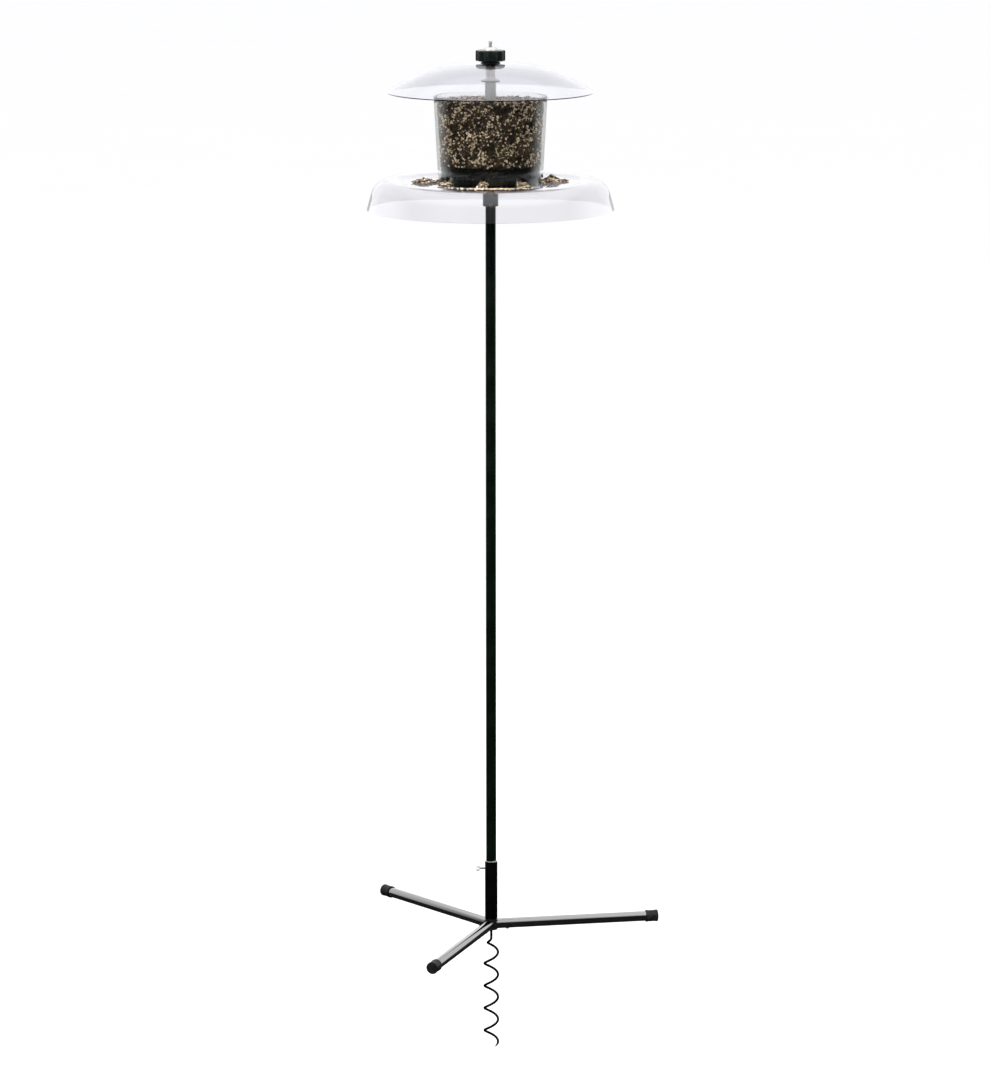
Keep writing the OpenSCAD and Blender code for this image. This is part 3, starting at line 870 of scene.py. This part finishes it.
c, s = math.cos(PADDLE_TURN), math.sin(PADDLE_TURN)
blade = np.stack([blade[..., 0] * c - blade[..., 1] * s, blade[..., 0] * s + blade[..., 1] * c,
                  blade[..., 2] - screw_root + PADDLE_L / 2], -1)
wing = shell("thumb_screw_wing", sideways(blade), wrap_v=False, crease=60)
place(wing, zinc, "thumb_screw", "zinc_steel", "thumb_screw")
shank = shell("thumb_screw_thread", sideways(
    threaded(2.5 * MM, 0.5 * MM, 0.9 * MM, 13.0 * MM, -screw_root + 2 * MM, 28, 8)),
    wrap_v=False, crease=70)
place(shank, zinc, "thumb_screw", "zinc_steel")

# %% [markdown]
# ## Centre tube and spacer
# A grey tube runs up through the seed, and on it stands a turned spacer that carries the
# roof: a flat foot, a hollow curve like a bell's, and a neck. Both are plain turned sections.

# %% Tube and spacer
tube_low, tube_high, tube_r = levels("center_tube")
centre_tube = shell("centre_tube", turned(ring_of(tube_r - 2.4 * MM, tube_r, tube_low, tube_high,
                                                  0.5 * MM), 96))
place(centre_tube, grey_tube, "feeder_head", "grey_tube", "center_tube")

spacer_low, spacer_high, flare_r = levels("dome_spacer")
NECK_R = 11.5 * MM
flare = arc(NECK_R + 9 * MM, spacer_low + 12 * MM, 9 * MM, -90, -172, 9)[::-1]
spacer = shell("roof_spacer", turned(np.vstack([
    eased([(rod_r + 0.1 * MM, spacer_high), (rod_r + 0.1 * MM, spacer_low), (flare_r, spacer_low),
           (flare_r, spacer_low + 2.6 * MM)], 0.5 * MM, closed=False),
    flare,
    [(NECK_R, spacer_high - 0.6 * MM), (NECK_R - 0.6 * MM, spacer_high)]]), 96))
place(spacer, alloy, "feeder_head", "turned_alloy", "dome_spacer")

# %% [markdown]
# ## Knob and its insert
# The knob is a turned piece whose radius also depends on the angle. Where a lobe's circle is
# crossed its far side gives the radius; between lobes the core does. A bright coned nut is
# set in its top.

# %% Knob and its insert
LOBES = 10
LOBE_R = 7.5 * MM
HUB_R = 21.5 * MM
HUB_H = 3.5 * MM
LOBE_DEPTH = 3.6 * MM
knob_low, knob_high, knob_r = levels("dome_knob")
insert_high, insert_r = levels("knob_insert")[1:]


def lobed(u):
    """Radius of the knob's outline at an angle."""
    middle = knob_r - LOBE_R
    off = (u + np.pi / LOBES) % (2 * np.pi / LOBES) - np.pi / LOBES
    reach = LOBE_R ** 2 - (middle * np.sin(off)) ** 2
    lobe = np.where(reach > 0, middle * np.cos(off) + np.sqrt(np.maximum(reach, 0)), 0)
    return np.maximum(lobe, knob_r - LOBE_DEPTH)


print("knob", round(2 * knob_r / MM, 1), "mm over", LOBES, "lobes")

# %% [markdown]
# Each row of the knob says how round or lobed it is and at what height, from the hub's foot,
# over the soft edges of the lobes, to the seat of the nut.

# %% Knob rows
lobe_low = knob_low + HUB_H
nut_seat = knob_high - 1 * MM
soft = arc(0, 0, 3 * MM, 180, 90, 7)
# Each row: radius if round, share of the lobed outline, how far inside it, height.
rows = np.array(
    [[ROOF_HOLE_R, 0, 0, knob_low], [HUB_R - 0.8 * MM, 0, 0, knob_low],
     [HUB_R, 0, 0, knob_low + 0.8 * MM], [HUB_R, 0, 0, lobe_low]]
    + [[0, 1, 3 * MM - x, lobe_low + 3 * MM + y] for x, y in soft]
    + [[0, 1, 3 * MM - x, knob_high - 3 * MM - y] for x, y in soft[::-1]]
    + [[insert_r + 1 * MM, 0, 0, knob_high], [insert_r - 1 * MM, 0, 0, nut_seat],
       [ROOF_HOLE_R, 0, 0, nut_seat]])
u = circle(400)[:, None]
r = rows[:, 0] * (1 - rows[:, 1]) + rows[:, 1] * (lobed(u) - rows[:, 2])
knob = shell("roof_knob", about(u, r, rows[:, 3] + 0 * u), crease=40)
place(knob, black_plastic, "knob", "black_plastic", "dome_knob")

cone = eased([(rod_r + 0.1 * MM, nut_seat), (insert_r, nut_seat), (insert_r, knob_high + 1.6 * MM),
              (16 * MM, insert_high - 1.2 * MM), (9 * MM, insert_high), (rod_r + 0.1 * MM, insert_high)],
             0.8 * MM)
insert = shell("knob_cap_nut", turned(cone, 96))
place(insert, alloy, "knob", "turned_alloy", "knob_insert")

# %% [markdown]
# ## Seed
# The mix is black sunflower with paler grains. One seed is a drop: a circle that swells and
# then narrows to a point along its length, flattened a little. Thousands of copies are one
# array product of turns, sizes and places, with each seed's own tone stored on its points.

# %% One seed, many times
def drop(rings=3, sides=6, point=0.55):
    """Unit seed with its length on x: the radius is sin(v) made narrower towards the tip."""
    v = np.linspace(0, np.pi, rings + 2)[1:-1]
    radius = np.sin(v) * (1 - point * 0.5 * (1 - np.cos(v)) * 0.8)
    w = circle(sides)
    body = np.stack([np.repeat(-np.cos(v)[:, None], sides, 1), radius[:, None] * np.cos(w),
                     radius[:, None] * np.sin(w)], -1).reshape(-1, 3)
    points = np.vstack([[-1, 0, 0], body, [1, 0, 0]])
    ring = np.arange(sides)
    after = (ring + 1) % sides
    fans = [np.stack([0 * ring, after + 1, ring + 1], -1),
            np.stack([0 * ring + len(points) - 1, ring + 1 + (rings - 1) * sides,
                      after + 1 + (rings - 1) * sides], -1)]
    bands = [np.stack([1 + k * sides + ring, 1 + k * sides + after,
                       1 + (k + 1) * sides + after, 1 + (k + 1) * sides + ring], -1)
             for k in range(rings - 1)]
    quads = np.vstack(bands)
    split = np.vstack([quads[:, [0, 1, 2]], quads[:, [0, 2, 3]]])
    return points, np.vstack([*fans, split])


print("one seed has", len(drop()[1]), "triangles")

# %% [markdown]
# Copies are made by arrays: each seed gets three axes of its own, near the surface it lies
# on, and one product of turns and points places them all. Instances would be lighter, but one
# mesh exports as it is.

# %% Axes of each seed
SEED_TILT = 0.25


def frames(normal):
    """Three axes for each seed: the third near the given normal, the first at a random turn
    about it, with a random tilt."""
    n = len(normal)
    up = normal + rng.normal(0, SEED_TILT, (n, 3))
    up /= np.linalg.norm(up, axis=1)[:, None]
    first = np.cross(up, rng.normal(0, 1, (n, 3)))
    first /= np.linalg.norm(first, axis=1)[:, None]
    return np.stack([first, np.cross(up, first), up], -1)


print("seeds tilt by about", round(math.degrees(math.atan(SEED_TILT))), "degrees")

# %% [markdown]
# The mesh is then filled in one go, and a tone is stored on the points of each seed.

# %% Many seeds
def seeds(name, places, normal, size, point, mat):
    """One mesh of many seeds: R times the scaled unit seed, plus each seed's place."""
    unit, faces = drop(point=point)
    n = len(places)
    scale = np.array(size) / 2 * rng.uniform(0.8, 1.15, (n, 1))
    local = unit[None] * scale[:, None]
    points = np.einsum("nij,nkj->nki", frames(normal), local) + places[:, None]
    faces = (faces[None] + len(unit) * np.arange(n)[:, None, None]).reshape(-1, 3)
    mesh = raw_mesh(name, points.reshape(-1, 3), faces)
    tone = mesh.attributes.new("tone", "FLOAT", "POINT")
    tone.data.foreach_set("value", np.repeat(rng.uniform(0, 1, n), len(unit)).astype(np.float32))
    return place(linked(name, mesh), mat, "feeder_head", "seed_mix")


print("seed meshes are made by", seeds.__name__)

# %% [markdown]
# Husks differ from seed to seed more than within one, so each seed mixes its two colours by
# its own stored tone, and fine noise adds the streaks. Three kinds make up the mix.

# %% Seed colours
def seed_finish(name, dark, light, mark):
    """A husk: each seed's tone mixes two colours, and fine streaks add a third."""
    mat = shader(name, dark, 0.6, Specular_IOR_Level=0.15)
    tone = add(mat, "ShaderNodeAttribute", attribute_name="tone").outputs["Fac"]
    husk = blend_colour(mat, tone, (*dark, 1), (*light, 1))
    streak = spread(mat, pattern(mat, 650, 3), 0, 0.6, 0.5, 0.7)
    drive(mat, "Base Color", blend_colour(mat, streak, husk, (*mark, 1)))
    drive(mat, "Roughness", spread(mat, pattern(mat, 300), 0.45, 0.75))
    bump(mat, pattern(mat, 900, 2), 0.4, 0.0004)
    return mat


SEED_KINDS = {
    "sunflower": ((10.5 * MM, 5.6 * MM, 3.8 * MM), 0.6, 0.60,
                  seed_finish("sunflower_husk", (0.012, 0.008, 0.004), (0.085, 0.054, 0.030),
                              (0.18, 0.13, 0.08))),
    "millet": ((5.6 * MM, 4.6 * MM, 3.8 * MM), 0.1, 0.26,
               seed_finish("millet_grain", (0.42, 0.28, 0.16), (1.0, 0.88, 0.68),
                           (0.40, 0.27, 0.16))),
    "heart": ((6.6 * MM, 4.2 * MM, 3.2 * MM), 0.4, 0.16,
              seed_finish("hulled_heart", (0.34, 0.21, 0.13), (0.68, 0.57, 0.42),
                          (0.22, 0.15, 0.10))),
}
print("kinds of seed:", *SEED_KINDS)

# %% [markdown]
# Seed shows in four places: pressed against the bin's wall, heaped at its mouth, spilling
# through the ports, and strewn on the dish. A dark rough core stands behind the outer grains,
# so a few thousand of them look like a full bin.

# %% Where the seed lies
SEED_TOP = levels("seed_fill")[1]
bin_inner = BIN_FOOT_R - BIN_WALL


def upwards(n):
    """The normals of n seeds that lie flat."""
    return np.tile([0.0, 0.0, 1.0], (n, 1))


def against_wall(n):
    """In a layer one seed deep over the bin's inner face. Seeds of a kind gather: of three
    times as many tries, those where a sum of slow waves is highest are kept more often."""
    angle = rng.uniform(0, 2 * np.pi, 3 * n)
    z = rng.uniform(ring_top + 3 * MM, SEED_TOP - 3 * MM, 3 * n)
    push = rng.uniform(0, 9, 3)
    waves = (np.sin(11 * angle + push[0] + 40 * z) + np.sin(90 * z + push[1] - 5 * angle)
             + np.sin(23 * angle + push[2] - 130 * z))
    best = np.argsort(waves + rng.normal(0, 1.6, 3 * n))[-n:]
    angle, z = angle[best], z[best]
    r = bin_inner + bin_slope * (z - floor_z) - rng.uniform(2.4 * MM, 5.6 * MM, n)
    return about(angle, r, z), about(angle, 1.0, 0 * z)


print("bin filled to", round(SEED_TOP, 4))

# %% [markdown]
# At the mouth the seed lies loose with a low swell, and at each port it runs out in a slope.

# %% Seed at the mouth and the ports
SLOPE_FROM = 104 * MM
SLOPE_RUN = 34 * MM


def on_top(n):
    """Spread evenly over the mouth, with a low swell."""
    angle = rng.uniform(0, 2 * np.pi, n)
    r = np.sqrt(rng.uniform(tube_r ** 2 * 1.4, (bin_inner + 6 * MM) ** 2, n))
    z = SEED_TOP - 4 * MM + 1.5 * MM * np.sin(r * 60 + 3 * angle) + rng.uniform(-2 * MM, 1 * MM, n)
    return about(angle, r, z), upwards(n)


def in_ports(n):
    """Through each port: a slope that falls from the ring out to the dish, and widens."""
    port = PORT_TURN + 2 * np.pi / PORTS * rng.integers(0, PORTS, n)
    far = rng.uniform(0, 1, n) ** 0.8
    r = SLOPE_FROM + SLOPE_RUN * far
    side = rng.normal(0, 0.42, n).clip(-0.85, 0.85) * PORT_W / 2 * (0.8 + 0.25 * far)
    height = 17 * MM * (1 - far) ** 0.9 * rng.uniform(0.15, 1, n) + 2.2 * MM
    return about(port + side / r, r, floor_z + height), upwards(n)


print("seed runs out to", round(SLOPE_FROM + SLOPE_RUN, 4), "m from the axis")

# %% [markdown]
# The heaps lie where birds and wind leave them, most at the two sides of the dish. Each has
# its compass angle, distance from the axis, width and height, the last three in millimetres.

# %% Seed on the dish
HEAPS = [(177, 164, 29, 13), (7, 152, 25, 24), (-99, 139, 11, 13), (-54, 140, 13, 16),
         (-144, 146, 13, 12), (81, 150, 16, 8), (9, 184, 13, 4)]
HEAP_SHARES = [0.3, 0.3, 0.08, 0.1, 0.08, 0.1, 0.04]


def in_heaps(n):
    """Low cones on the dish: a normal scatter about each middle, piled highest there."""
    heap = np.array(HEAPS, float)[rng.choice(len(HEAPS), n, p=HEAP_SHARES)]
    off = rng.normal(0, 0.40, (n, 2)).clip(-1, 1) * heap[:, 2:3] * MM
    x = heap[:, 1] * MM + off[:, 0]
    away = np.hypot(off[:, 0], off[:, 1]) / heap[:, 2] / MM
    z = floor_z + 2.2 * MM + heap[:, 3] * MM * 0.7 * (1 - away).clip(0) * rng.uniform(0.2, 1, n)
    turn = np.radians(heap[:, 0])
    place_x = x * np.cos(turn) - off[:, 1] * np.sin(turn)
    place_y = x * np.sin(turn) + off[:, 1] * np.cos(turn)
    keep = np.hypot(place_x, place_y) > BIN_FOOT_R + 4 * MM
    return np.stack([place_x, place_y, z], -1)[keep], upwards(int(keep.sum()))


def strewn(n):
    """A thin scatter of pale grains over the front of the dish and the flat of its ridge."""
    angle = rng.vonmises(-np.pi / 2, 22, n)
    r = rng.uniform(150 * MM, ridge_r + 11 * MM, n)
    height = np.interp(r, tray_path[:, 0], tray_path[:, 1])
    return about(angle, r, height + 1.9 * MM), upwards(n)


print("heaps on the dish:", len(HEAPS))

# %% [markdown]
# Every layer is split by kind, so each piece is one mesh with one finish. The mix on the dish
# is paler than in the bin, because the birds scatter the small grains.

# %% Seed pieces
LAYERS = {"wall": (against_wall, 8200, {}), "mouth": (on_top, 2600, {}),
          "ports": (in_ports, 2200, {"sunflower": 0.35, "millet": 0.4, "heart": 0.25}),
          "heaps": (in_heaps, 1700, {"sunflower": 0.45, "millet": 0.35, "heart": 0.2}),
          "strewn": (strewn, 230, {"sunflower": 0, "millet": 0.7, "heart": 0.3})}
for layer, (where, total, shares) in LAYERS.items():
    for kind, (size, point, share, husk) in SEED_KINDS.items():
        count = int(total * shares.get(kind, share))
        if count == 0:
            continue
        places, normal = where(count)
        seeds(f"seed_{layer}_{kind}", places, normal, size, point, husk)

core_r = bin_inner - 7 * MM
fill_low = levels("seed_fill")[0]
core_top_r = core_r + bin_slope * (SEED_TOP - floor_z)
core = shell("seed_core", turned(eased([
    (tube_r + 0.3 * MM, fill_low), (101 * MM, fill_low), (102 * MM, fill_low + 14 * MM),
    (112 * MM, ring_top - 4 * MM), (core_r, ring_top + 2 * MM), (core_top_r, SEED_TOP - 7 * MM),
    (tube_r + 0.3 * MM, SEED_TOP - 6 * MM)], 2 * MM), 96))
place(core, SEED_KINDS["sunflower"][3], "feeder_head", "seed_mix", "seed_fill", "tray_seed")

# %% [markdown]
# ## Carried-over CAD pieces
# The hub, the small fasteners and the flat washers already have their real shape, so they
# stay and only get a finish.

# %% Finishes on CAD pieces
KEPT = {
    "hub_spider": leg_coat, "leg_screws": zinc, "auger_nut": zinc, "collar_set_screw": zinc,
    "flange_bolts": zinc, "flange_nuts": zinc, "tube_washer": rubber, "dome_seal": rubber,
    "dome_washer": rubber,
}
for node, mat in KEPT.items():
    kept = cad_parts[node]
    kept.data.materials.clear()
    kept.data.materials.append(mat)
    print(node, "-", mat.name)
